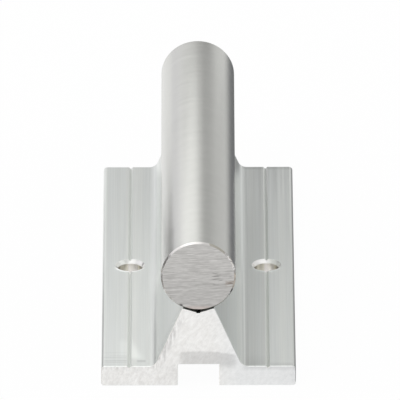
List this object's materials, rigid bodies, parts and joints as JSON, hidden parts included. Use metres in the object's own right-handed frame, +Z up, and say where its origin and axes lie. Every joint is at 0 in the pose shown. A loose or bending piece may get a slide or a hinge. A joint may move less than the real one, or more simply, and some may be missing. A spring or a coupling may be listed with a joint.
{
  "type": "supported linear shaft",
  "caption": "Round ground shaft bolted along an extruded aluminium support rail with drilled flanges and a tapered riser, a guide for open linear bearings.",
  "frame": {"origin": "base plane, midway between the two flange holes", "axes": "+Z up from the base, +Y along the shaft towards its overhanging end, +X across the flanges"},
  "size_m": [0.052, 0.134, 0.042],
  "materials": {
    "ground_steel": "satin, centreless ground",
    "extruded_aluminium": "mill finish, sawn ends",
    "zinc_plated_steel": "zinc plated"
  },
  "bodies": {
    "root": {"shaft": "ground_steel", "support_rail": "extruded_aluminium", "shaft_screws": "zinc_plated_steel"}
  },
  "joints": []
}
